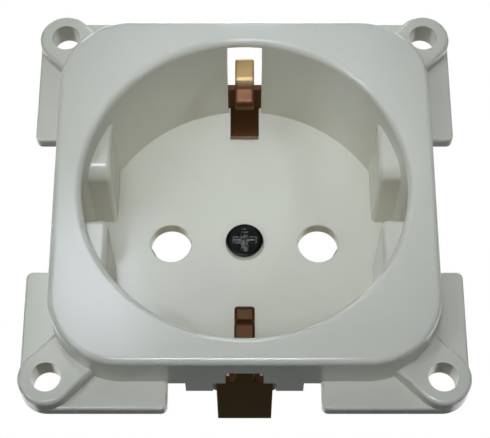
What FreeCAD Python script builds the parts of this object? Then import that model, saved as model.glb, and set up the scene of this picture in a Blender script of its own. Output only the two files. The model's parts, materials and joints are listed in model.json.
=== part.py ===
import FreeCAD, Part
import math
import os
import Sketcher

# Type F wall socket insert: a white moulding with a round plug well and four fixing lugs,
# a bronze earth bracket, two line contacts and their screw terminals on a rear carrier.
# Millimetres. X is right, Z is up on the wall and Y runs into the wall. The origin is the
# centre of the four lug holes, on the plane where the lugs sit on the wall plate.

# Driving dimensions
SIZES = {
    # moulding: front plate and skirt
    "front_height": 7.7,
    "plate_margin": 3.3,
    "plate_corner": 8.6,
    "plate_round": 0.75,
    "plate_wall": 2.0,
    "skirt_gap": 0.9,
    "skirt_wall": 1.5,
    "tab_width": 13.8,
    "tab_drop": 1.8,
    "rib_wall": 1.2,
    # moulding: plug well
    "well_radius": 19.4,
    "well_depth": 17.5,
    "rim_round": 0.8,
    "cup_wall": 1.0,
    "cup_round": 3.0,
    "floor_wall": 2.0,
    "guide_step": 2.95,
    "guide_ledge": 3.8,
    "guide_notch": 6.0,
    "guide_round": 2.0,
    "guide_lip": 0.7,
    "guide_edge": 0.6,
    "pin_spacing": 19.0,
    "pin_hole": 5.2,
    "pin_round": 0.2,
    "wall_slot": 4.4,
    "wall_slot_top": 1.05,
    "skirt_slot_top": 3.3,
    "floor_slot": 3.8,
    "floor_slot_reach": 4.2,
    # moulding: fixing lugs and their wings
    "lug_offset": 0.1,
    "lug_hole": 3.5,
    "lug_radius": 3.3,
    "lug_boss": 3.5,
    "lug_round": 0.5,
    "wing_wall": 1.6,
    "wing_reach": 8.9,
    "wing_round": 0.8,
    "wing_edge": 0.3,
    # moulding: rear bosses
    "boss_radius": 3.6,
    "boss_height": 6.1,
    "peg_radius": 1.2,
    "peg_height": 3.0,
    # earth bracket, one bent strip
    "strip_wall": 0.8,
    "strip_width": 6.8,
    "leg_web": 0.6,
    "leg_gap": 0.1,
    "leg_end_top": 12.8,
    "leg_end_bottom": 11.6,
    "finger_width": 2.4,
    "finger_round": 0.35,
    "finger_bend": 7.5,
    "finger_tip_inset": 0.5,
    "finger_tip_depth": 4.6,
    "finger_flat_inset": 2.6,
    "finger_step_inset": 3.5,
    "finger_step_depth": 5.5,
    "finger_crest_inset": 5.85,
    "finger_crest_depth": 5.8,
    "finger_end_inset": 3.2,
    "finger_end_depth": 9.6,
    # centre screw and its nut
    "screw_head": 4.9,
    "screw_head_height": 1.0,
    "screw_head_round": 0.5,
    "screw_shank": 3.0,
    "screw_tail": 0.6,
    "recess_width": 0.8,
    "recess_length": 3.0,
    "recess_depth": 0.7,
    "centre_nut": 5.5,
    "centre_nut_height": 2.4,
    # contact carrier
    "carrier_depth": 11.5,
    "carrier_sole": 1.7,
    "carrier_round": 1.0,
    "bay_gap": 0.4,
    "barrier_wall": 1.2,
    "barrier_height": 4.5,
    "cheek_wall": 1.2,
    "cheek_height": 2.6,
    "bridge_width": 9.0,
    "bridge_top": 4.2,
    "bridge_wall": 3.0,
    "screw_well": 3.0,
    # line contacts
    "contact_setback": 3.5,
    "contact_drop": 3.1,
    "contact_seat": 5.4,
    "contact_neck": 4.4,
    "contact_neck_rise": 0.6,
    "contact_mouth": 6.4,
    "contact_mouth_rise": 2.4,
    "tail_width": 6.4,
    "tail_past": 3.6,
    # screw terminals
    "nut_cover": 0.7,
    "earth_rise": 9.0,
    "nut_width": 6.0,
    "nut_height": 2.4,
    "nut_round": 0.4,
    "nut_frame": 1.0,
    "clamp_wall": 1.0,
    "clamp_height": 6.6,
    "clamp_round": 0.5,
    "flange_wall": 0.7,
    "flange_depth": 0.7,
    "terminal_head": 6.0,
    "terminal_head_height": 2.2,
    "terminal_head_round": 0.3,
    "terminal_shank": 3.5,
    "terminal_tail": 0.8,
    "slot_width": 0.9,
    "slot_depth": 1.1,
    # clearances, each side
    "slip": 0.1,
    "pass_gap": 0.3,
    "thread_gap": 0.05,
}

# Cutting tools run this far past the face they open
PAST = 1.0
HALF_ROOT = math.sqrt(0.5)
NEAR = 1e-4

doc = FreeCAD.newDocument("type_f_socket")
sheet = doc.addObject("Spreadsheet::Sheet", "sizes")
for row, (alias, number) in enumerate(SIZES.items(), 1):
    sheet.set(f"A{row}", alias)
    sheet.set(f"B{row}", str(number))
    sheet.setAlias(f"B{row}", alias)
doc.recompute()


class Size:
    """A length worked out from the sheet: the expression and the number that it gives."""

    def __init__(self, text, number):
        self.text = text
        self.number = number

    def __add__(self, other):
        other = as_size(other)
        return Size(f"({self.text} + {other.text})", self.number + other.number)

    def __sub__(self, other):
        other = as_size(other)
        return Size(f"({self.text} - {other.text})", self.number - other.number)

    def __mul__(self, factor):
        return Size(f"({self.text} * {factor})", self.number * factor)

    def __truediv__(self, factor):
        return Size(f"({self.text} / {factor})", self.number / factor)

    def __neg__(self):
        return Size(f"(0 - {self.text})", -self.number)


def as_size(value):
    return value if isinstance(value, Size) else Size(str(value), value)


def cell(alias):
    return Size(f"sizes.{alias}", float(sheet.get(alias)))


def bind(thing, name, value):
    thing.setExpression(name, as_size(value).text)


# Solids and cuts

RIGHT = FreeCAD.Vector(1, 0, 0)
REARWARD = FreeCAD.Vector(0, 1, 0)
FORWARD = FreeCAD.Vector(0, -1, 0)
UPWARD = FreeCAD.Vector(0, 0, 1)
TO_REAR = FreeCAD.Rotation(RIGHT, -90)
FACING_FRONT = FreeCAD.Rotation(RIGHT, 90)
FACING_RIGHT = FreeCAD.Rotation(UPWARD, FORWARD, RIGHT, "XYZ")


def place(thing, x, y, z):
    for axis, value in zip("xyz", (x, y, z)):
        bind(thing, f"Placement.Base.{axis}", value)


def block(name, x, y, z):
    """A box between a low and a high place on each axis."""
    thing = doc.addObject("Part::Box", name)
    for side, (low, high) in zip(("Length", "Width", "Height"), (x, y, z)):
        bind(thing, side, as_size(high) - low)
    place(thing, x[0], y[0], z[0])
    return thing


def bar(name, radius, x, z, y):
    """A round bar along Y between two depths."""
    thing = doc.addObject("Part::Cylinder", name)
    thing.Placement = FreeCAD.Placement(FreeCAD.Vector(), TO_REAR)
    bind(thing, "Radius", radius)
    bind(thing, "Height", as_size(y[1]) - y[0])
    place(thing, x, y[0], z)
    return thing


def fuse(name, things):
    thing = doc.addObject("Part::MultiFuse", name)
    thing.Shapes = things
    thing.Refine = True
    return thing


def cut(name, base, tools):
    thing = doc.addObject("Part::Cut", name)
    thing.Base = base
    thing.Tool = tools[0] if len(tools) == 1 else fuse(f"{name}_tools", tools)
    thing.Refine = True
    return thing


def outline(name, points, rotation, closed):
    """A sketch of straight lines with both places of every point bound to the sheet."""
    sketch = doc.addObject("Sketcher::SketchObject", name)
    sketch.Placement = FreeCAD.Placement(FreeCAD.Vector(), rotation)
    points = [(as_size(across), as_size(up)) for across, up in points]
    corners = [FreeCAD.Vector(across.number, up.number, 0) for across, up in points]
    ends = corners[1:] + corners[:1] if closed else corners[1:]
    for start, end in zip(corners, ends):
        sketch.addGeometry(Part.LineSegment(start, end))
    lines = len(ends)
    for line in range(lines if closed else lines - 1):
        sketch.addConstraint(Sketcher.Constraint("Coincident", line, 2, (line + 1) % lines, 1))
    for number, point in enumerate(points):
        line, end = (number, 1) if number < lines else (lines - 1, 2)
        for kind, value in zip(("DistanceX", "DistanceY"), point):
            rule = Sketcher.Constraint(kind, -1, 1, line, end, value.number)
            bind(sketch, f"Constraints[{sketch.addConstraint(rule)}]", value)
    return sketch


def extrude(name, face, way, length, middle=False):
    thing = doc.addObject("Part::Extrusion", name)
    thing.Base = face
    thing.DirMode = "Custom"
    thing.Dir = way
    thing.Solid = True
    thing.Symmetric = middle
    bind(thing, "LengthFwd", length)
    return thing


def bent_strip(name, points, rotation, way, length, middle=False, side=1):
    """A strip that follows an open line, with its thickness on one side of that line."""
    path = outline(f"{name}_path", points, rotation, closed=False)
    band = doc.addObject("Part::Offset2D", f"{name}_band")
    band.Source = path
    band.Fill = True
    band.Mode = "Skin"
    bind(band, "Value", cell("strip_wall") * side)
    return extrude(name, band, way, length, middle)


def rounded(name, base, radius, wanted):
    """The base with the edges that wanted() picks rounded over."""
    doc.recompute()
    thing = doc.addObject("Part::Fillet", name)
    thing.Base = base
    picked = [number for number, edge in enumerate(base.Shape.Edges, 1) if wanted(edge)]
    if not picked:
        raise RuntimeError(f"{name} found no edge to round")
    thing.Edges = [(number, radius.number, radius.number) for number in picked]
    return thing


def close(first, second):
    return abs(first - as_size(second).number) < NEAR


def runs_along(edge, axis):
    """Whether an edge is straight and parallel to an axis, 0 to 2 for X to Z."""
    if not isinstance(edge.Curve, Part.Line):
        return False
    return abs(abs(edge.Curve.Direction[axis]) - 1) < NEAR


def is_ring(edge, radius, y):
    """Whether an edge is a whole circle of a radius about Y at a depth."""
    if not isinstance(edge.Curve, Part.Circle) or not edge.isClosed():
        return False
    return close(edge.Curve.Radius, radius) and close(edge.Curve.Center.y, y)


def mirrored(sign, low, high):
    """A span on the positive side of zero, or its mirror image."""
    return (low, high) if sign > 0 else (-as_size(high), -as_size(low))


def about(middle, half):
    """A span that reaches as far to both sides of a place."""
    middle = as_size(middle)
    return (middle - half, middle + half)


def shifted(by, span):
    """A span moved along."""
    by = as_size(by)
    return (by + span[0], by + span[1])


# Planes across the depth and other places that several pieces share

FRONT = -cell("front_height")
LEDGE = FRONT + cell("guide_ledge")
SKIRT_END = -cell("skirt_gap")
TAB_END = cell("tab_drop")
FLOOR = FRONT + cell("well_depth")
FLOOR_REAR = FLOOR + cell("floor_wall")
BASE = FLOOR_REAR + cell("boss_height")
BASE_REAR = BASE + cell("strip_wall")
BRIDGE_REAR = BASE_REAR + cell("bridge_wall")
CARRIER_REAR = FLOOR_REAR + cell("carrier_depth")
TAIL_REAR = CARRIER_REAR + cell("strip_wall")

PLATE = cell("well_radius") + cell("plate_margin")
SKIRT_INSIDE = PLATE - cell("skirt_wall")
CUP = cell("well_radius") + cell("cup_wall")
LUG = PLATE + cell("lug_offset")
WING_EDGE = LUG + cell("lug_radius")
PIN = cell("pin_spacing") / 2
LEG = cell("well_radius") + cell("leg_web") + cell("leg_gap")
LEG_ENDS = {side: FRONT + cell(f"leg_end_{side}") for side in ("top", "bottom")}
CONTACT_SEAT = -cell("contact_drop")
CARRIER_TOP = CONTACT_SEAT - cell("strip_wall")
NUT_POCKET = cell("nut_width") / 2 + cell("slip")
TERMINAL = CARRIER_TOP - cell("nut_cover") - NUT_POCKET
CARRIER_LOW = TERMINAL - NUT_POCKET - cell("carrier_sole")
CLAMP_HALF = cell("tail_width") / 2 + cell("slip") + cell("flange_wall")
BAY_HALF = CLAMP_HALF + cell("bay_gap")
SHANK_HOLE = cell("terminal_shank") / 2 + cell("pass_gap")
SIDES = {"right": 1, "left": -1}
CORNERS = [(across, up) for across in (1, -1) for up in (1, -1)]


# Front moulding

def plate_solid(name, half, corner, y):
    """A square slab with rounded corners."""
    slab = block(f"{name}_slab", (-half, half), y, (-half, half))
    return rounded(name, slab, corner, lambda edge: runs_along(edge, 1))


def lug(across, up):
    """One fixing lug: two wings along the plate's sides, their corner and the raised boss."""
    name = f"lug_{across + 1}{up + 1}"
    wing_depth = (-cell("wing_wall"), 0)
    boss_depth = (-cell("lug_boss"), 0)
    inner = PLATE - cell("plate_corner")
    wings = [
        block(f"{name}_upright", mirrored(across, SKIRT_INSIDE, WING_EDGE), wing_depth,
              mirrored(up, cell("wing_reach"), LUG)),
        block(f"{name}_level", mirrored(across, cell("wing_reach"), LUG), wing_depth,
              mirrored(up, SKIRT_INSIDE, WING_EDGE)),
    ]
    ends = [
        rounded(f"{wing.Name}_rounded", wing, cell("wing_round"),
                lambda edge, wing=wing: is_wing_end(edge, wing, across, up))
        for wing in wings
    ]
    eased = [
        rounded(f"{end.Name}_eased", end, cell("wing_edge"), lambda edge: is_wing_rim(edge, across, up))
        for end in ends
    ]
    corner = block(f"{name}_corner", mirrored(across, inner, LUG), wing_depth,
                   mirrored(up, inner, LUG))
    boss = bar(f"{name}_boss", cell("lug_radius"), LUG * across, LUG * up, boss_depth)
    reach = (LUG - inner) - (cell("plate_corner") - cell("skirt_wall")) * HALF_ROOT
    half = cell("lug_radius") * HALF_ROOT
    far = LUG + half
    near = LUG - half
    tab_points = [(far, near), (near, far), (near - reach, far - reach), (far - reach, near - reach)]
    tab_points = [(x * across, z * up) for x, z in tab_points]
    tab = extrude(f"{name}_tab", outline(f"{name}_tab_outline", tab_points, FACING_FRONT, True),
                  FORWARD, cell("lug_boss"))
    top = -cell("lug_boss")
    raised = rounded(f"{name}_raised", fuse(f"{name}_raised_blank", [boss, tab]), cell("lug_round"),
                     lambda edge: is_level(edge, top))
    return eased + [corner, raised]


def is_level(edge, y):
    """Whether an edge lies in the plane at a depth."""
    return close(edge.BoundBox.YMin, y) and close(edge.BoundBox.YMax, y)


def is_wing_rim(edge, across, up):
    """The outer front edges of a wing, along its side, round its corner and across its free end."""
    if not is_level(edge, -cell("wing_wall")):
        return False
    point = edge.CenterOfMass
    side, end = max(point.x * across, point.z * up), min(point.x * across, point.z * up)
    return isinstance(edge.Curve, Part.Circle) or close(side, WING_EDGE) or close(end, cell("wing_reach"))


def is_wing_end(edge, wing, across, up):
    """The free outer corner of a wing, an edge along Y."""
    if not runs_along(edge, 1):
        return False
    point = edge.CenterOfMass
    upright = wing.Name.endswith("upright")
    x, z = (WING_EDGE, cell("wing_reach")) if upright else (cell("wing_reach"), WING_EDGE)
    return close(point.x * across, x) and close(point.z * up, z)


def corner_ribs():
    """Two thin walls from corner to corner, which the plug well later parts in the middle."""
    length = (SKIRT_INSIDE - cell("plate_corner")) * 2 / HALF_ROOT + cell("plate_corner") * 2
    ribs = []
    for turn in (1, -1):
        rib = block(f"rib_{turn + 1}", (0, length), (FRONT + cell("plate_wall"), SKIRT_END),
                    (0, cell("rib_wall")))
        rotation = FreeCAD.Rotation(REARWARD, -45 * turn)
        rib.Placement = FreeCAD.Placement(rib.Placement.Base, rotation)
        along = length / 2 * HALF_ROOT
        aside = cell("rib_wall") / 2 * HALF_ROOT
        place(rib, -along + aside * turn, FRONT + cell("plate_wall"), -along * turn - aside)
        ribs.append(rib)
    return ribs


def well_space():
    """The plug well: a round space with a flat, notched guide standing in from each side."""
    past_rim = FRONT - PAST
    space = bar("well_round", cell("well_radius"), 0, 0, (past_rim, FLOOR))
    reach = (-cell("well_radius"), cell("well_radius"))
    guides = [
        block(f"guide_{side}", mirrored(sign, cell("well_radius") - cell("guide_step"), CUP),
              (LEDGE, FLOOR + PAST), reach)
        for side, sign in SIDES.items()
    ]
    notch = block("guide_grooves", (-CUP, CUP), (LEDGE - PAST, FLOOR + PAST * 2),
                  about(0, cell("guide_notch") / 2))
    return cut("well_space", space, [cut("guides", fuse("guide_flats", guides), [notch])])


def earth_openings():
    """Slots through the wall, floor and skirt for the bracket's legs and fingers."""
    wall_half = cell("wall_slot") / 2
    floor_half = cell("floor_slot") / 2
    notch_half = cell("strip_width") / 2 + cell("pass_gap")
    past_tab = TAB_END + PAST
    openings = []
    for side, up in (("top", 1), ("bottom", -1)):
        openings += [
            block(f"wall_slot_{side}", about(0, wall_half), (FRONT + cell("wall_slot_top"), FLOOR),
                  mirrored(up, cell("well_radius") - PAST, CUP + cell("pass_gap"))),
            block(f"skirt_slot_{side}", about(0, wall_half),
                  (FRONT + cell("skirt_slot_top"), past_tab),
                  mirrored(up, CUP, PLATE + PAST)),
            block(f"tab_notch_{side}", about(0, notch_half), (SKIRT_END, past_tab),
                  mirrored(up, SKIRT_INSIDE - PAST, PLATE + PAST)),
            block(f"leg_groove_{side}", about(0, notch_half), (LEG_ENDS[side] - cell("pass_gap"), BASE),
                  mirrored(up, LEG - cell("leg_gap"), CUP + PAST)),
            block(f"floor_slot_{side}", about(0, floor_half), (FLOOR - PAST, FLOOR_REAR + PAST),
                  mirrored(up, cell("well_radius") - cell("floor_slot_reach"), LEG)),
        ]
    return openings


def front_body():
    slab = plate_solid("front_plate", PLATE, cell("plate_corner"), (FRONT, SKIRT_END))
    face = rounded("front_plate_edge", slab, cell("plate_round"),
                   lambda edge: close(edge.BoundBox.YMax, FRONT))
    tabs = [
        block(f"tab_{up + 1}", about(0, cell("tab_width") / 2),
              (FRONT + cell("plate_wall"), TAB_END), mirrored(up, SKIRT_INSIDE, PLATE))
        for up in (1, -1)
    ]
    lugs = [piece for across, up in CORNERS for piece in lug(across, up)]
    inside = plate_solid("skirt_space", SKIRT_INSIDE, cell("plate_corner") - cell("skirt_wall"),
                         (FRONT + cell("plate_wall"), TAB_END + PAST))
    shell = cut("shell", fuse("shell_outside", [face] + tabs + lugs), [inside])

    cup = rounded("cup_outside", bar("cup_bar", CUP, 0, 0, (FRONT + cell("plate_round"), FLOOR_REAR)),
                  cell("cup_round"), lambda edge: is_ring(edge, CUP, FLOOR_REAR))
    boss = bar("centre_boss", cell("boss_radius"), 0, 0, (FLOOR, BASE))
    frame_half = NUT_POCKET + cell("nut_frame")
    nut_frame = block("earth_nut_frame", about(0, frame_half), (FLOOR, BASE),
                      about(cell("earth_rise"), frame_half))
    pegs = [
        bar(f"peg_{side}", cell("peg_radius"), PIN * sign, TERMINAL,
            (FLOOR, FLOOR_REAR + cell("peg_height")))
        for side, sign in SIDES.items()
    ]
    whole = fuse("moulding", [shell, cup, boss, nut_frame] + pegs + corner_ribs())

    spaces = [well_space()] + earth_openings()
    spaces.append(block("earth_nut_pocket", about(0, NUT_POCKET),
                        (BASE - cell("nut_height"), BASE + PAST), about(cell("earth_rise"), NUT_POCKET)))
    spaces.append(bar("earth_screw_well", SHANK_HOLE, 0, cell("earth_rise"), (FLOOR_REAR, BASE)))
    spaces.append(bar("centre_hole", cell("screw_shank") / 2 + cell("slip"), 0, 0,
                      (FLOOR - PAST, BASE + PAST)))
    for side, sign in SIDES.items():
        spaces.append(bar(f"pin_hole_{side}", cell("pin_hole") / 2, PIN * sign, 0,
                          (FLOOR - PAST, FLOOR_REAR + PAST)))
    for across, up in CORNERS:
        spaces.append(bar(f"lug_hole_{across + 1}{up + 1}", cell("lug_hole") / 2, LUG * across, LUG * up,
                          (-cell("lug_boss") - PAST, PAST)))
    hollow = cut("hollow_moulding", whole, spaces)
    rim = rounded("moulding_rim", hollow, cell("rim_round"),
                  lambda edge: is_ring(edge, cell("well_radius"), FRONT))
    pins = rounded("moulding_pins", rim, cell("pin_round"),
                   lambda edge: is_ring(edge, cell("pin_hole") / 2, FLOOR))
    lips = rounded("moulding_lips", pins, cell("guide_round"), lambda edge: is_guide_lip(edge, 1))
    ledges = rounded("moulding_ledges", lips, cell("guide_lip"), lambda edge: is_guide_lip(edge, -1))
    return rounded("front_body", ledges, cell("guide_edge"), is_guide_edge)


def is_guide_lip(edge, up):
    """The front edges that look into the notches, above it for up 1 and below it for -1."""
    return is_level(edge, LEDGE) and runs_along(edge, 0) and edge.CenterOfMass.z * up > 0


def is_guide_edge(edge):
    """The front edges along the two guides' flats, with the rounded lips that they run into."""
    box = edge.BoundBox
    flat = cell("well_radius") - cell("guide_step")
    if not (close(abs(box.XMin), flat) and close(abs(box.XMax), flat)):
        return False
    return is_level(edge, LEDGE) or isinstance(edge.Curve, Part.Circle)


# Earth bracket

def earth_bracket():
    strap = bent_strip(
        "bracket_strap",
        [(-LEG, -LEG_ENDS["bottom"]), (-LEG, -BASE), (LEG, -BASE), (LEG, -LEG_ENDS["top"])],
        FACING_RIGHT, RIGHT, cell("strip_width"), middle=True,
    )
    wall = cell("well_radius")
    path = [
        (LEG, -LEG_ENDS["top"] - cell("strip_wall")),
        (LEG, -(FRONT + cell("finger_bend"))),
        (wall - cell("finger_tip_inset"), -(FRONT + cell("finger_tip_depth"))),
        (wall - cell("finger_flat_inset"), -(FRONT + cell("finger_tip_depth"))),
        (wall - cell("finger_step_inset"), -(FRONT + cell("finger_step_depth"))),
        (wall - cell("finger_crest_inset") + cell("strip_wall"), -(FRONT + cell("finger_crest_depth"))),
        (wall - cell("finger_end_inset"), -(FRONT + cell("finger_end_depth"))),
    ]
    fingers = []
    for side, up in (("top", 1), ("bottom", -1)):
        points = [(reach * up, height) for reach, height in path][::up]
        finger = bent_strip(f"finger_{side}_strip", points, FACING_RIGHT, RIGHT,
                            cell("finger_width"), middle=True)
        fingers.append(rounded(f"finger_{side}", finger, cell("finger_round"),
                               lambda edge: is_finger_edge(edge, path)))
    depth = (BASE - PAST, BASE_REAR + PAST)
    holes = [
        bar("bracket_centre_hole", cell("screw_shank") / 2 + cell("slip"), 0, 0, depth),
        bar("bracket_earth_hole", SHANK_HOLE, 0, cell("earth_rise"), depth),
    ]
    return cut("earth_bracket", fuse("bracket_blank", [strap] + fingers), holes)


def is_finger_edge(edge, path):
    """An edge on the outside of the bends, along one side of a finger."""
    box = edge.BoundBox
    if not (close(box.XMin, box.XMax) and close(abs(box.XMax), cell("finger_width") / 2)):
        return False
    point = edge.valueAt((edge.FirstParameter + edge.LastParameter) / 2)
    corners = [FreeCAD.Vector(point.x, -height.number, reach.number) for reach, height in path]
    here = FreeCAD.Vector(point.x, point.y, abs(point.z))
    inside = Part.Wire(Part.makePolygon(corners))
    return close(inside.distToShape(Part.Vertex(here))[0], cell("strip_wall"))


# Centre screw and nut

def centre_screw():
    crown = FLOOR - cell("screw_head_height")
    head = rounded("screw_pan", bar("screw_disc", cell("screw_head") / 2, 0, 0, (crown, FLOOR)),
                   cell("screw_head_round"), lambda edge: is_ring(edge, cell("screw_head") / 2, crown))
    end = BRIDGE_REAR + cell("centre_nut_height") + cell("screw_tail")
    shank = bar("screw_shank_bar", cell("screw_shank") / 2, 0, 0, (crown + cell("recess_depth"), end))
    depth = (crown - PAST, crown + cell("recess_depth"))
    long_half = cell("recess_length") / 2
    thin_half = cell("recess_width") / 2
    cross = [
        block("recess_level", about(0, long_half), depth, about(0, thin_half)),
        block("recess_upright", about(0, thin_half), depth, about(0, long_half)),
    ]
    return cut("centre_screw", fuse("screw_blank", [head, shank]), cross)


def square_nut(name, x, z, width, bore, y):
    half = width / 2
    front, rear = y
    body = block(f"{name}_blank", about(x, half), y, about(z, half))
    eased = rounded(f"{name}_eased", body, cell("nut_round"), lambda edge: runs_along(edge, 1))
    hole = bar(f"{name}_hole", bore / 2 + cell("thread_gap"), x, z, (front - PAST, rear + PAST))
    return cut(name, eased, [hole])


def centre_nut():
    return square_nut("centre_nut", 0, 0, cell("centre_nut"), cell("screw_shank"),
                      (BRIDGE_REAR, BRIDGE_REAR + cell("centre_nut_height")))


# Contact carrier

def carrier_side(side, sign):
    """Walls of one terminal bay and the cheeks that hold the contact above it."""
    cheek = cell("contact_seat") / 2 + cell("strip_wall") + cell("slip")
    walls = []
    middle = PIN * sign
    for edge, way in (("low", -1), ("high", 1)):
        barrier = shifted(middle, mirrored(way, BAY_HALF, BAY_HALF + cell("barrier_wall")))
        walls.append(block(f"barrier_{edge}_{side}", barrier,
                           (FLOOR_REAR, CARRIER_REAR + cell("barrier_height")),
                           (CARRIER_LOW, CARRIER_TOP)))
        rest = shifted(middle, mirrored(way, cheek, cheek + cell("cheek_wall")))
        walls.append(block(f"cheek_{edge}_{side}", rest,
                           (FLOOR_REAR + cell("contact_setback"), CARRIER_REAR),
                           (CARRIER_TOP - PAST, CARRIER_TOP + cell("cheek_height"))))
    return walls


def contact_carrier():
    half = PIN + BAY_HALF + cell("barrier_wall")
    body = block("carrier_block", (-half, half), (FLOOR_REAR, CARRIER_REAR), (CARRIER_LOW, CARRIER_TOP))
    bridge_end = BRIDGE_REAR + cell("centre_nut_height")
    bridge = block("carrier_bridge", about(0, cell("bridge_width") / 2), (BASE_REAR, bridge_end),
                   (CARRIER_TOP - PAST, cell("bridge_top")))
    walls = [wall for side, sign in SIDES.items() for wall in carrier_side(side, sign)]
    whole = fuse("carrier_blank", [body, bridge] + walls)

    nut_half = cell("centre_nut") / 2 + cell("slip")
    spaces = [
        block("strap_channel", about(0, cell("strip_width") / 2 + cell("pass_gap")),
              (FLOOR_REAR - PAST, BASE_REAR), (CARRIER_LOW - PAST, CARRIER_TOP + PAST)),
        block("centre_nut_pocket", about(0, nut_half), (BRIDGE_REAR, bridge_end + PAST),
              about(0, nut_half)),
        bar("bridge_hole", cell("screw_shank") / 2 + cell("slip"), 0, 0, (BASE_REAR - PAST, bridge_end)),
    ]
    nut_face = CARRIER_REAR - cell("nut_height")
    for side, sign in SIDES.items():
        spaces += [
            block(f"nut_pocket_{side}", about(PIN * sign, NUT_POCKET), (nut_face, CARRIER_REAR + PAST),
                  about(TERMINAL, NUT_POCKET)),
            bar(f"screw_well_{side}", SHANK_HOLE, PIN * sign, TERMINAL,
                (nut_face - cell("screw_well"), CARRIER_REAR)),
            bar(f"peg_hole_{side}", cell("peg_radius") + cell("slip"), PIN * sign, TERMINAL,
                (FLOOR_REAR - PAST, FLOOR_REAR + cell("peg_height") + cell("slip"))),
        ]
    hollow = cut("carrier_hollow", whole, spaces)
    return rounded("contact_carrier", hollow, cell("carrier_round"),
                   lambda edge: is_carrier_corner(edge, half))


def is_carrier_corner(edge, half):
    point = edge.CenterOfMass
    return runs_along(edge, 1) and close(abs(point.x), half) and close(point.z, CARRIER_LOW)


# Line contacts and screw terminals

def line_contact(side, sign):
    """A bent trough whose two leaves grip the pin, with a tail that turns down to its terminal."""
    middle = PIN * sign
    seat = cell("contact_seat") / 2
    neck = cell("contact_neck") / 2
    mouth = cell("contact_mouth") / 2
    leaf = [
        (mouth, cell("contact_mouth_rise")),
        (neck, cell("contact_neck_rise")),
        (seat, CONTACT_SEAT),
    ]
    path = [(middle - across, up) for across, up in leaf]
    path += [(middle + across, up) for across, up in reversed(leaf)]
    name = f"line_contact_{side}"
    start = FLOOR_REAR + cell("contact_setback")
    trough = bent_strip(f"{name}_trough", path, FACING_FRONT, REARWARD, TAIL_REAR - start, side=-1)
    bind(trough, "Placement.Base.y", start)
    tail = block(f"{name}_tail", about(middle, cell("tail_width") / 2), (CARRIER_REAR, TAIL_REAR),
                 (TERMINAL - cell("tail_past"), CONTACT_SEAT))
    hole = bar(f"{name}_hole", SHANK_HOLE, middle, TERMINAL, (CARRIER_REAR - PAST, TAIL_REAR + PAST))
    return cut(name, fuse(f"{name}_blank", [trough, tail]), [hole])


def clamp(name, x, z, straddled, face):
    """A saddle plate on a face, with two lips that stand beside the strip under it."""
    inner = straddled / 2 + cell("slip")
    outer = inner + cell("flange_wall")
    height = about(z, cell("clamp_height") / 2)
    rear = face + cell("clamp_wall")
    plate = block(f"{name}_plate", about(x, outer), (face, rear), height)
    lips = [
        block(f"{name}_lip_{side}", shifted(x, mirrored(sign, inner, outer)),
              (face - cell("flange_depth"), rear), height)
        for side, sign in SIDES.items()
    ]
    depth = cell("clamp_wall") + cell("flange_depth")
    eased = rounded(f"{name}_eased", fuse(f"{name}_blank", [plate] + lips), cell("clamp_round"),
                    lambda edge: runs_along(edge, 1) and close(edge.Length, depth))
    hole = bar(f"{name}_hole", SHANK_HOLE, x, z, (face - PAST, rear + PAST))
    return cut(name, eased, [hole])


def terminal_screw(name, x, z, face, tip):
    """A slotted cheese-head screw driven from the rear, its head seated on a face."""
    radius = cell("terminal_head") / 2
    crown = face + cell("terminal_head_height")
    disc = bar(f"{name}_disc", radius, x, z, (face, crown))
    head = rounded(f"{name}_head", disc, cell("terminal_head_round"),
                   lambda edge: is_ring(edge, radius, crown))
    shank = bar(f"{name}_shank", cell("terminal_shank") / 2, x, z, (tip, crown - cell("slot_depth")))
    slot = block(f"{name}_slot", about(x, radius + PAST), (crown - cell("slot_depth"), crown + PAST),
                 about(z, cell("slot_width") / 2))
    return cut(name, fuse(f"{name}_blank", [head, shank]), [slot])


def line_terminal(side, sign):
    nut_face = CARRIER_REAR - cell("nut_height")
    middle = PIN * sign
    return [
        line_contact(side, sign),
        square_nut(f"terminal_nut_{side}", middle, TERMINAL, cell("nut_width"), cell("terminal_shank"),
                   (nut_face, CARRIER_REAR)),
        clamp(f"terminal_clamp_{side}", middle, TERMINAL, cell("tail_width"), TAIL_REAR),
        terminal_screw(f"terminal_screw_{side}", middle, TERMINAL, TAIL_REAR + cell("clamp_wall"),
                       nut_face - cell("terminal_tail")),
    ]


def earth_terminal():
    rise = cell("earth_rise")
    return [
        square_nut("earth_nut", 0, rise, cell("nut_width"), cell("terminal_shank"),
                   (BASE - cell("nut_height"), BASE)),
        clamp("earth_clamp", 0, rise, cell("strip_width"), BASE_REAR),
        terminal_screw("earth_screw", 0, rise, BASE_REAR + cell("clamp_wall"), FLOOR_REAR + cell("slip")),
    ]


# The whole socket

pieces = [front_body(), earth_bracket(), centre_screw(), centre_nut(), contact_carrier()]
pieces += earth_terminal()
for side, sign in SIDES.items():
    pieces += line_terminal(side, sign)
doc.recompute()

for thing in doc.Objects:
    if {"Invalid", "Error"} & set(thing.State):
        raise RuntimeError(f"{thing.Name} failed: {thing.State}")
for piece in pieces:
    piece.Label = piece.Name
    if piece.Shape.isNull() or not piece.Shape.isValid():
        raise RuntimeError(f"{piece.Name} has no valid shape")
    if len(piece.Shape.Solids) != 1:
        raise RuntimeError(f"{piece.Name} has {len(piece.Shape.Solids)} solids")

os.makedirs("parts", exist_ok=True)
for piece in pieces:
    piece.Shape.exportStep(f"parts/{piece.Label}.step")
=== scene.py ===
import json
from math import radians

import bmesh
import bpy
from mathutils import Matrix, Vector

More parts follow.
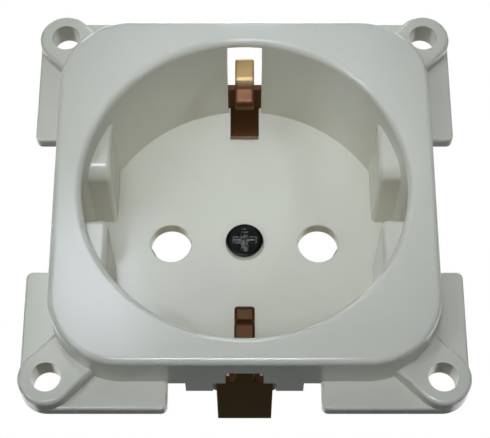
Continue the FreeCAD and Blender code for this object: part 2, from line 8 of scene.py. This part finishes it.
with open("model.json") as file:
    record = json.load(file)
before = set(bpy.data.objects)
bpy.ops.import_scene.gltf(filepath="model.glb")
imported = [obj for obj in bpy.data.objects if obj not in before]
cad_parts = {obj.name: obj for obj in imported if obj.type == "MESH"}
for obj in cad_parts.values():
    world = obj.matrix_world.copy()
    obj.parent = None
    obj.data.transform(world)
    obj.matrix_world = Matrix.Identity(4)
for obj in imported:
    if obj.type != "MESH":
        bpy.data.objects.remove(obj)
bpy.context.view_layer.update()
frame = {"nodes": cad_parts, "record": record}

# Looks of a flush wall socket: gloss white moulding, darkened bronze earth strip, plated screws.
# Metres. X is right, Z is up on the wall and Y runs into the wall, so the front faces -Y.

MM = 0.001


# Shader building

def linear(code):
    """An sRGB hex colour as linear red, green, blue and alpha."""
    parts = [int(code[i:i + 2], 16) / 255 for i in (1, 3, 5)]
    return (*[c / 12.92 if c <= 0.04045 else ((c + 0.055) / 1.055) ** 2.4 for c in parts], 1.0)


def add(tree, kind, links=None, stops=None, **settings):
    """Adds a node with its settings; a link's value is a number, a colour or another node's output."""
    made = tree.nodes.new(kind)
    for name, value in settings.items():
        setattr(made, name, value)
    for name, value in (links or {}).items():
        if isinstance(value, bpy.types.NodeSocket):
            tree.links.new(value, made.inputs[name])
        else:
            made.inputs[name].default_value = value
    if stops:
        ramp = made.color_ramp.elements
        for _ in stops[2:]:
            ramp.new(1.0)
        for element, (place, colour) in zip(ramp, stops):
            element.position = place
            element.color = colour
    return made


def per_metre(size_mm):
    """A pattern's scale for features of a real size in millimetres."""
    return 1 / (size_mm * MM)


def new_material(name):
    """An empty material and its node tree."""
    material = bpy.data.materials.new(name)
    material.use_nodes = True
    tree = material.node_tree
    tree.nodes.clear()
    return material, tree


def close_material(tree, sockets):
    """The surface shader with its sockets, led to the material's output."""
    shader = add(tree, "ShaderNodeBsdfPrincipled", sockets)
    add(tree, "ShaderNodeOutputMaterial", {"Surface": shader.outputs["BSDF"]})


# Sockets of a Mix node that mixes two colours
MIX_FACTOR = 0
MIX_FIRST = 6
MIX_SECOND = 7
MIX_RESULT = 2


# Finishes

METAL_EDGE = 0.12 * MM
SCREW_EDGE = 0.2 * MM
THERMOSET_EDGE = 0.2 * MM
GRAIN_DEPTH = 0.05 * MM
WAVE_DEPTH = 0.1 * MM

# The grain of plated and rolled metal is too fine to show, so it is drawn this coarse, in millimetres
METAL_GRAIN = 0.3
BRONZE_GRAIN = 0.2


def white_thermoplastic():
    """Injection-moulded white thermoplastic: an even gloss, hardly wavy, warm where light lingers."""
    material, tree = new_material("white_thermoplastic")
    place = add(tree, "ShaderNodeTexCoord").outputs["Object"]
    mottle = add(tree, "ShaderNodeTexNoise", {"Vector": place, "Scale": per_metre(14), "Detail": 3.0})
    colour = add(tree, "ShaderNodeValToRGB", {"Fac": mottle.outputs["Fac"]},
                 stops=[(0.3, linear("#DEDAC8")), (0.7, linear("#E2DECC"))])
    scuffs = add(tree, "ShaderNodeTexNoise", {"Vector": place, "Scale": per_metre(3), "Detail": 2.0})
    gloss = add(tree, "ShaderNodeMapRange", {"Value": scuffs.outputs["Fac"],
                                             "From Min": 0.3, "From Max": 0.7,
                                             "To Min": 0.12, "To Max": 0.16})
    waves = add(tree, "ShaderNodeTexNoise", {"Vector": place, "Scale": per_metre(9), "Detail": 0.0})
    surface = add(tree, "ShaderNodeBump", {"Height": waves.outputs["Fac"], "Strength": 0.02,
                                           "Distance": WAVE_DEPTH})
    close_material(tree, {"Base Color": colour.outputs["Color"], "Roughness": gloss.outputs["Result"],
                          "IOR": 1.5, "Normal": surface.outputs["Normal"]})
    return material


def metal(name, dull, bright, patch_mm, roughness):
    """A plated or rolled metal: two close shades in soft patches, a fine grain and softened edges."""
    material, tree = new_material(name)
    place = add(tree, "ShaderNodeTexCoord").outputs["Object"]
    patches = add(tree, "ShaderNodeTexNoise", {"Vector": place, "Scale": per_metre(patch_mm), "Detail": 4.0})
    colour = add(tree, "ShaderNodeValToRGB", {"Fac": patches.outputs["Fac"]},
                 stops=[(0.35, linear(dull)), (0.65, linear(bright))])
    grain = add(tree, "ShaderNodeTexNoise", {"Vector": place, "Scale": per_metre(METAL_GRAIN),
                                             "Detail": 2.0})
    smoothest, roughest = roughness
    shine = add(tree, "ShaderNodeMapRange", {"Value": grain.outputs["Fac"], "From Min": 0.3, "From Max": 0.7,
                                             "To Min": smoothest, "To Max": roughest})
    edges = add(tree, "ShaderNodeBevel", {"Radius": METAL_EDGE}, samples=4)
    surface = add(tree, "ShaderNodeBump", {"Height": grain.outputs["Fac"], "Strength": 0.08,
                                           "Distance": GRAIN_DEPTH, "Normal": edges.outputs["Normal"]})
    close_material(tree, {"Base Color": colour.outputs["Color"], "Metallic": 1.0,
                          "Roughness": shine.outputs["Result"], "Normal": surface.outputs["Normal"]})
    return material


# Where the centre screw wears and where a highlight is painted, each from the first sign to full: the recess
# by radius and depth, the head's bare side by radius, and its lower half by height, where the painted
# highlight lies
RECESS_RADIUS = (1.9 * MM, 1.7 * MM)
RECESS_DEPTH = (9.0 * MM, 9.4 * MM)
RECESS_WEAR = 0.2
SIDE_RADIUS = (2.25 * MM, 2.38 * MM)
PAINTED_HIGHLIGHT_HALF = (-0.2 * MM, -1.2 * MM)


def dark_nickel_steel():
    """Steel screw with dark nickel plating: near black, worn to bare silvery patches in the recess and along
    its edges, and bare on the head's side, shown on the lower half only as a painted highlight."""
    material, tree = new_material("dark_nickel_steel")
    place = add(tree, "ShaderNodeTexCoord").outputs["Object"]
    axes = add(tree, "ShaderNodeSeparateXYZ", {"Vector": place}).outputs
    patches = add(tree, "ShaderNodeTexNoise", {"Vector": place, "Scale": per_metre(1), "Detail": 4.0})
    plating = add(tree, "ShaderNodeValToRGB", {"Fac": patches.outputs["Fac"]},
                  stops=[(0.35, linear("#191A17")), (0.65, linear("#22231F"))])
    scratches = add(tree, "ShaderNodeTexNoise", {"Vector": place, "Scale": per_metre(0.45), "Detail": 3.0})
    worn = add(tree, "ShaderNodeMapRange", {"Value": scratches.outputs["Fac"],
                                            "From Min": 0.42, "From Max": 0.58})
    edges = add(tree, "ShaderNodeBevel", {"Radius": SCREW_EDGE}, samples=8)
    flat = add(tree, "ShaderNodeNewGeometry").outputs["True Normal"]
    turn = add(tree, "ShaderNodeVectorMath", {0: edges.outputs["Normal"], 1: flat}, operation="DOT_PRODUCT")
    rubbed = add(tree, "ShaderNodeMapRange", {"Value": turn.outputs["Value"],
                                              "From Min": 0.99, "From Max": 0.85})
    across = add(tree, "ShaderNodeVectorMath", {0: place, 1: (1, 0, 1)}, operation="MULTIPLY")
    radius = add(tree, "ShaderNodeVectorMath", {0: across.outputs[0]}, operation="LENGTH").outputs["Value"]
    inside = add(tree, "ShaderNodeMapRange", {"Value": radius, "From Min": RECESS_RADIUS[0],
                                              "From Max": RECESS_RADIUS[1]})
    deep = add(tree, "ShaderNodeMapRange", {"Value": axes["Y"], "From Min": RECESS_DEPTH[0],
                                            "From Max": RECESS_DEPTH[1], "To Max": RECESS_WEAR})
    recess = add(tree, "ShaderNodeMath", {0: deep.outputs[0], 1: inside.outputs[0]}, operation="MULTIPLY")
    driven = add(tree, "ShaderNodeMath", {0: recess.outputs[0], 1: rubbed.outputs[0]}, operation="MAXIMUM")
    patchy = add(tree, "ShaderNodeMath", {0: driven.outputs[0], 1: worn.outputs[0]}, operation="MULTIPLY")
    side = add(tree, "ShaderNodeMapRange", {"Value": radius, "From Min": SIDE_RADIUS[0],
                                            "From Max": SIDE_RADIUS[1]})
    # Only the lower half of the head's bare side shows silver: a painted highlight
    low = add(tree, "ShaderNodeMapRange", {"Value": axes["Z"], "From Min": PAINTED_HIGHLIGHT_HALF[0],
                                           "From Max": PAINTED_HIGHLIGHT_HALF[1]})
    rim = add(tree, "ShaderNodeMath", {0: side.outputs[0], 1: low.outputs[0]}, operation="MULTIPLY")
    bare = add(tree, "ShaderNodeMath", {0: patchy.outputs[0], 1: rim.outputs[0]}, operation="MAXIMUM")
    colour = add(tree, "ShaderNodeMix", {MIX_FACTOR: bare.outputs[0], MIX_FIRST: plating.outputs["Color"],
                                         MIX_SECOND: linear("#D8D9D2")}, data_type="RGBA")
    shine = add(tree, "ShaderNodeMapRange", {"Value": bare.outputs[0], "To Min": 0.3, "To Max": 0.5})
    close_material(tree, {"Base Color": colour.outputs[MIX_RESULT], "Metallic": 1.0,
                          "Roughness": shine.outputs["Result"], "Normal": edges.outputs["Normal"]})
    return material


# Where the bronze strip changes shade: from tip to aged by depth, with an uneven border, partly wear and age
# and partly a painted highlight on the gold tip and painted shade in the brown; sooner on the lower finger
# by height, as painted shade; then painted light, a paler shade, on the front of the strip behind the floor,
# by depth and height
TIP_DEPTH = (-4 * MM, 0.0)
BORDER_DRIFT = 0.3 * MM
PAINTED_SHADE_HEIGHT = (-10 * MM, 10 * MM)
PAINTED_SHADE_SHIFT = 2.5 * MM
PAINTED_LIGHT_DEPTH = (10.5 * MM, 11.5 * MM)
PAINTED_LIGHT_HEIGHT = (0.0, 6 * MM)


def phosphor_bronze():
    """Rolled bronze strip: rubbed to gold at the upper finger's tip with a painted highlight there, copper
    behind it, brown with age and painted shade elsewhere, browner sooner on the lower finger as painted
    shade, and with painted light, a paler shade, on its front behind the floor."""
    material, tree = new_material("phosphor_bronze")
    place = add(tree, "ShaderNodeTexCoord").outputs["Object"]
    axes = add(tree, "ShaderNodeSeparateXYZ", {"Vector": place}).outputs
    cloud = add(tree, "ShaderNodeTexNoise", {"Vector": place, "Scale": per_metre(1.5), "Detail": 4.0})
    drift = add(tree, "ShaderNodeMapRange", {"Value": cloud.outputs["Fac"], "To Min": -BORDER_DRIFT,
                                             "To Max": BORDER_DRIFT})
    depth = add(tree, "ShaderNodeMath", {0: axes["Y"], 1: drift.outputs["Result"]}, operation="ADD")
    # The lower finger turns brown sooner: painted shade
    lower = add(tree, "ShaderNodeMapRange", {"Value": axes["Z"], "From Min": PAINTED_SHADE_HEIGHT[0],
                                             "From Max": PAINTED_SHADE_HEIGHT[1],
                                             "To Min": PAINTED_SHADE_SHIFT, "To Max": 0.0})
    depth_with_painted_shade = add(tree, "ShaderNodeMath", {0: depth.outputs[0], 1: lower.outputs["Result"]}, operation="ADD")
    tip_wear_and_painted_light = add(tree, "ShaderNodeMapRange", {"Value": depth_with_painted_shade.outputs[0], "From Min": TIP_DEPTH[0],
                                            "From Max": TIP_DEPTH[1]})
    # Gold tip, copper and brown: partly wear and age, partly a painted highlight and painted shade
    colour = add(tree, "ShaderNodeValToRGB", {"Fac": tip_wear_and_painted_light.outputs["Result"]},
                 stops=[(0.06, linear("#EBC990")), (0.2, linear("#96694F")), (0.5, linear("#66452F")),
                        (1.0, linear("#684A36"))])
    # The front of the strip behind the floor is painted paler: painted light
    flat = add(tree, "ShaderNodeNewGeometry").outputs["True Normal"]
    facing = add(tree, "ShaderNodeSeparateXYZ", {"Vector": flat}).outputs["Y"]
    front = add(tree, "ShaderNodeMapRange", {"Value": facing, "From Min": -0.3, "From Max": -0.7})
    behind = add(tree, "ShaderNodeMapRange", {"Value": axes["Y"], "From Min": PAINTED_LIGHT_DEPTH[0],
                                              "From Max": PAINTED_LIGHT_DEPTH[1]})
    upper = add(tree, "ShaderNodeMapRange", {"Value": axes["Z"], "From Min": PAINTED_LIGHT_HEIGHT[0],
                                             "From Max": PAINTED_LIGHT_HEIGHT[1]})
    painted_light_front = add(tree, "ShaderNodeMath", {0: front.outputs[0], 1: behind.outputs[0]}, operation="MULTIPLY")
    painted_light_mask = add(tree, "ShaderNodeMath", {0: painted_light_front.outputs[0], 1: upper.outputs[0]},
                    operation="MULTIPLY")
    # Mixes in the paler colour of the painted light
    shade = add(tree, "ShaderNodeMix", {MIX_FACTOR: painted_light_mask.outputs[0], MIX_FIRST: colour.outputs["Color"],
                                        MIX_SECOND: linear("#CDBBA8")}, data_type="RGBA")
    grain = add(tree, "ShaderNodeTexNoise", {"Vector": place, "Scale": per_metre(BRONZE_GRAIN),
                                             "Detail": 2.0})
    shine = add(tree, "ShaderNodeMapRange", {"Value": tip_wear_and_painted_light.outputs["Result"],
                                             "To Min": 0.54, "To Max": 0.42})
    edges = add(tree, "ShaderNodeBevel", {"Radius": METAL_EDGE}, samples=4)
    surface = add(tree, "ShaderNodeBump", {"Height": grain.outputs["Fac"], "Strength": 0.04,
                                           "Distance": GRAIN_DEPTH, "Normal": edges.outputs["Normal"]})
    close_material(tree, {"Base Color": shade.outputs[MIX_RESULT], "Metallic": 1.0,
                          "Roughness": shine.outputs["Result"], "Specular Tint": linear("#D7CFB4"),
                          "Normal": surface.outputs["Normal"]})
    return material


def grey_thermoset():
    """Compression-moulded dark grey thermoset: fine matte with pale flecks of filler."""
    material, tree = new_material("grey_thermoset")
    place = add(tree, "ShaderNodeTexCoord").outputs["Object"]
    flecks = add(tree, "ShaderNodeTexNoise", {"Vector": place, "Scale": per_metre(0.5), "Detail": 3.0})
    colour = add(tree, "ShaderNodeValToRGB", {"Fac": flecks.outputs["Fac"]},
                 stops=[(0.4, linear("#35373A")), (0.75, linear("#55585B"))])
    edges = add(tree, "ShaderNodeBevel", {"Radius": THERMOSET_EDGE}, samples=4)
    surface = add(tree, "ShaderNodeBump", {"Height": flecks.outputs["Fac"], "Strength": 0.15,
                                           "Distance": GRAIN_DEPTH, "Normal": edges.outputs["Normal"]})
    close_material(tree, {"Base Color": colour.outputs["Color"], "Roughness": 0.55, "IOR": 1.55,
                          "Normal": surface.outputs["Normal"]})
    return material


# Zinc plating is a bluish satin on the nuts and clamps, nickel over brass a warm shine on the turned
# terminal screws, and contact brass a rolled yellow strip
FINISHES = {
    "white_thermoplastic": white_thermoplastic(),
    "phosphor_bronze": phosphor_bronze(),
    "dark_nickel_steel": dark_nickel_steel(),
    "zinc_plated_steel": metal("zinc_plated_steel", "#B9BDC2", "#D2D5D8", 2, (0.3, 0.42)),
    "nickel_plated_brass": metal("nickel_plated_brass", "#BDB6A6", "#D6D0C2", 2, (0.22, 0.32)),
    "contact_brass": metal("contact_brass", "#B98F49", "#D9B26A", 3, (0.25, 0.36)),
    "grey_thermoset": grey_thermoset(),
}


def dress_nodes():
    """Each CAD node takes the finish of its slot in the record."""
    for part in frame["record"]["subparts"]:
        shape = frame["nodes"][part["node"]]
        shape.data.materials.clear()
        shape.data.materials.append(FINISHES[part["material_slot"]])


# Studio

FLOOR_LEVEL = -0.3
BACKDROP_PLACE = 1.6
STAGE_HALF = 2.5
CARD_COLOUR = "#DADAD8"
LAMP_COLOUR = "#E8F2FF"
FILL_STRENGTH = 0.03


def stage_plane(name, centre, turn, material):
    """A wide flat stage piece that isn't part of the object."""
    shape = bmesh.new()
    place = Matrix.Translation(centre) @ Matrix.Rotation(radians(turn), 4, "X")
    bmesh.ops.create_grid(shape, x_segments=1, y_segments=1, size=STAGE_HALF, matrix=place)
    mesh = bpy.data.meshes.new(name)
    shape.to_mesh(mesh)
    shape.free()
    mesh.materials.append(material)
    plane = bpy.data.objects.new(name, mesh)
    bpy.context.scene.collection.objects.link(plane)


def pale_floor():
    """Matte pale floor card."""
    material, tree = new_material("pale_floor_card")
    close_material(tree, {"Base Color": linear(CARD_COLOUR), "Roughness": 0.8})
    return material


def white_backdrop():
    """Matte card that is plain white to the eye and in reflections, and pale to other light."""
    material, tree = new_material("white_backdrop_card")
    ray = add(tree, "ShaderNodeLightPath").outputs
    seen = add(tree, "ShaderNodeMath", {0: ray["Is Camera Ray"], 1: ray["Is Glossy Ray"]},
               operation="MAXIMUM")
    shown = add(tree, "ShaderNodeMath", {0: seen.outputs[0], 1: ray["Is Transmission Ray"]},
                operation="MAXIMUM")
    card = add(tree, "ShaderNodeBsdfDiffuse", {"Color": linear(CARD_COLOUR)})
    white = add(tree, "ShaderNodeEmission", {"Color": linear("#FFFFFF"), "Strength": 1.0})
    mixed = add(tree, "ShaderNodeMixShader", {0: shown.outputs[0], 1: card.outputs[0], 2: white.outputs[0]})
    add(tree, "ShaderNodeOutputMaterial", {"Surface": mixed.outputs[0]})
    return material


def world_light():
    """A weak even fill."""
    world = bpy.data.worlds.new("studio_world")
    bpy.context.scene.world = world
    world.use_nodes = True
    tree = world.node_tree
    tree.nodes.clear()
    fill = add(tree, "ShaderNodeBackground", {"Color": linear(LAMP_COLOUR), "Strength": FILL_STRENGTH})
    add(tree, "ShaderNodeOutputWorld", {"Surface": fill.outputs[0]})


SOCKET_CENTRE = (0.0, 0.0, 0.0)
WELL_TOP = (0.0, 4 * MM, 12 * MM)
WELL_LEFT = (-7 * MM, 2 * MM, 5 * MM)
WELL_RIGHT = (7 * MM, 2 * MM, 5 * MM)
OPEN = 180

# Each lamp's name, aim, direction from the aim, distance, width, height, power, and spread in degrees as a
# grid or snoot narrows it. In turn: three across the front and a near one at the left, three snoots that
# look into the well, two small ones whose sheen lies on the plate and a tiny one for the rim's glint,
# three overhead that draw the rim's bright line, and three behind.
LAMPS = [
    ("front_left", SOCKET_CENTRE, (-0.42, -0.89, -0.12), 0.7, 0.18, 0.12, 0.032, 40),
    ("front_middle", SOCKET_CENTRE, (-0.05, -0.985, -0.12), 0.7, 0.18, 0.12, 0.082, 40),
    ("front_right", SOCKET_CENTRE, (0.38, -0.91, -0.12), 0.7, 0.18, 0.12, 0.004, 40),
    ("near_left", SOCKET_CENTRE, (-0.85, -0.5, 0.1), 0.25, 0.1, 0.1, 0.004, 60),
    ("well_snoot", WELL_TOP, (0.0, -0.9, -0.43), 0.5, 0.03, 0.03, 0.0006, 7),
    ("well_snoot_left", WELL_RIGHT, (-0.6, -0.75, -0.28), 0.5, 0.03, 0.03, 0.0005, 6),
    ("well_snoot_right", WELL_LEFT, (0.6, -0.75, -0.28), 0.5, 0.03, 0.03, 0.0008, 6),
    ("upper_left", SOCKET_CENTRE, (-0.128, -0.922, 0.367), 0.6, 0.05, 0.08, 0.108, OPEN),
    ("upper", SOCKET_CENTRE, (0.0, -0.85, 0.53), 0.7, 0.17, 0.07, 0.085, OPEN),
    ("glint", SOCKET_CENTRE, (0.0, -0.74, 0.67), 0.7, 0.02, 0.025, 0.014, 40),
    ("rim_left", SOCKET_CENTRE, (-0.43, -0.05, 0.86), 0.6, 0.2, 0.08, 0.009, 20),
    ("rim_middle", SOCKET_CENTRE, (0.0, -0.05, 1.0), 0.6, 0.2, 0.08, 0.006, 20),
    ("rim_right", SOCKET_CENTRE, (0.43, -0.05, 0.86), 0.6, 0.2, 0.08, 0.009, 20),
    ("rear", SOCKET_CENTRE, (0.0, 0.5, 0.86), 0.6, 0.3, 0.3, 0.11, 60),
    ("rear_left", SOCKET_CENTRE, (-0.8, 0.55, -0.1), 0.6, 0.3, 0.3, 0.13, 60),
    ("rear_right", SOCKET_CENTRE, (0.8, 0.55, -0.1), 0.6, 0.3, 0.3, 0.13, 60),
]


def softbox(name, aim, towards, distance, width, height, power, spread):
    """An area lamp that looks at its aim from a direction."""
    lamp = bpy.data.lights.new(name, "AREA")
    lamp.shape = "RECTANGLE"
    lamp.size = width
    lamp.size_y = height
    lamp.energy = power
    lamp.spread = radians(spread)
    lamp.color = linear(LAMP_COLOUR)[:3]
    shape = bpy.data.objects.new(name, lamp)
    bpy.context.scene.collection.objects.link(shape)
    way = Vector(towards).normalized()
    shape.location = Vector(aim) + way * distance
    shape.rotation_euler = way.to_track_quat("Z", "Y").to_euler()


# Camera at the photograph's viewing angle

CAMERA_PLACE = (0.05 * MM, -163.62 * MM, -78.47 * MM)
CAMERA_PITCH = 115.291
CAMERA_LENS = 108.175
SENSOR_WIDTH = 36.0
NEAREST_SEEN = 1 * MM


def place_camera():
    """The scene's camera, level and square to the socket, looking up at it from below."""
    camera = bpy.data.cameras.new("camera")
    camera.lens = CAMERA_LENS
    camera.sensor_width = SENSOR_WIDTH
    camera.clip_start = NEAREST_SEEN
    shape = bpy.data.objects.new("camera", camera)
    shape.location = CAMERA_PLACE
    shape.rotation_euler = (radians(CAMERA_PITCH), 0, 0)
    bpy.context.scene.collection.objects.link(shape)
    bpy.context.scene.camera = shape


dress_nodes()
stage_plane("studio_floor", (0, 0, FLOOR_LEVEL), 0, pale_floor())
stage_plane("backdrop", (0, BACKDROP_PLACE, FLOOR_LEVEL + STAGE_HALF), 90, white_backdrop())
world_light()
for lamp_row in LAMPS:
    softbox(*lamp_row)
place_camera()
bpy.context.scene.view_settings.view_transform = "Standard"
